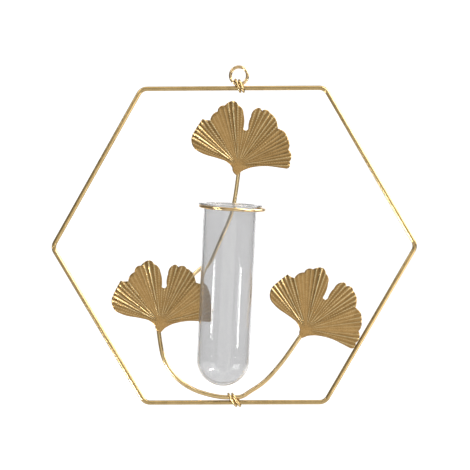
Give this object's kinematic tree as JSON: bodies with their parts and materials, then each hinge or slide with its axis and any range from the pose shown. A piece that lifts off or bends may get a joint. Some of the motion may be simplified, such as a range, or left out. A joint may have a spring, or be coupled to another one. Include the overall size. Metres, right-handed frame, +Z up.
{
  "type": "hanging wall vase",
  "caption": "Wall vase: a wire hexagon on a hanging ring, with ribbed ginkgo leaves on bent wire stems and a round-bottomed glass tube that lifts out of a wire ring.",
  "frame": {"origin": "centre of the hanging ring's hole, where the nail goes", "axes": "+X to the right of one who faces the wall, +Y towards the wall, +Z up"},
  "size_m": [0.2088, 0.0416, 0.1958],
  "materials": {
    "gold_metal": "satin",
    "clear_glass": "clear"
  },
  "bodies": {
    "root": {"hexagon_frame": "gold_metal", "hanging_ring": "gold_metal", "top_tie_wire": "gold_metal", "leaf_stem_arc": "gold_metal", "bottom_tie_wire": "gold_metal", "top_leaf_stem": "gold_metal", "holder_ring": "gold_metal", "top_leaf": "gold_metal", "left_leaf": "gold_metal", "right_leaf": "gold_metal", "top_leaf_weld": "gold_metal", "left_leaf_weld": "gold_metal", "right_leaf_weld": "gold_metal", "stem_joint_weld": "gold_metal", "holder_ring_weld": "gold_metal"},
    "tube": {"glass_tube": "clear_glass"}
  },
  "joints": [
    {"name": "tube_lift", "type": "slide", "parent": "root", "child": "tube", "axis": [0.0523, -0.0105, 0.9986], "range_m": [0, 0.105]}
  ]
}
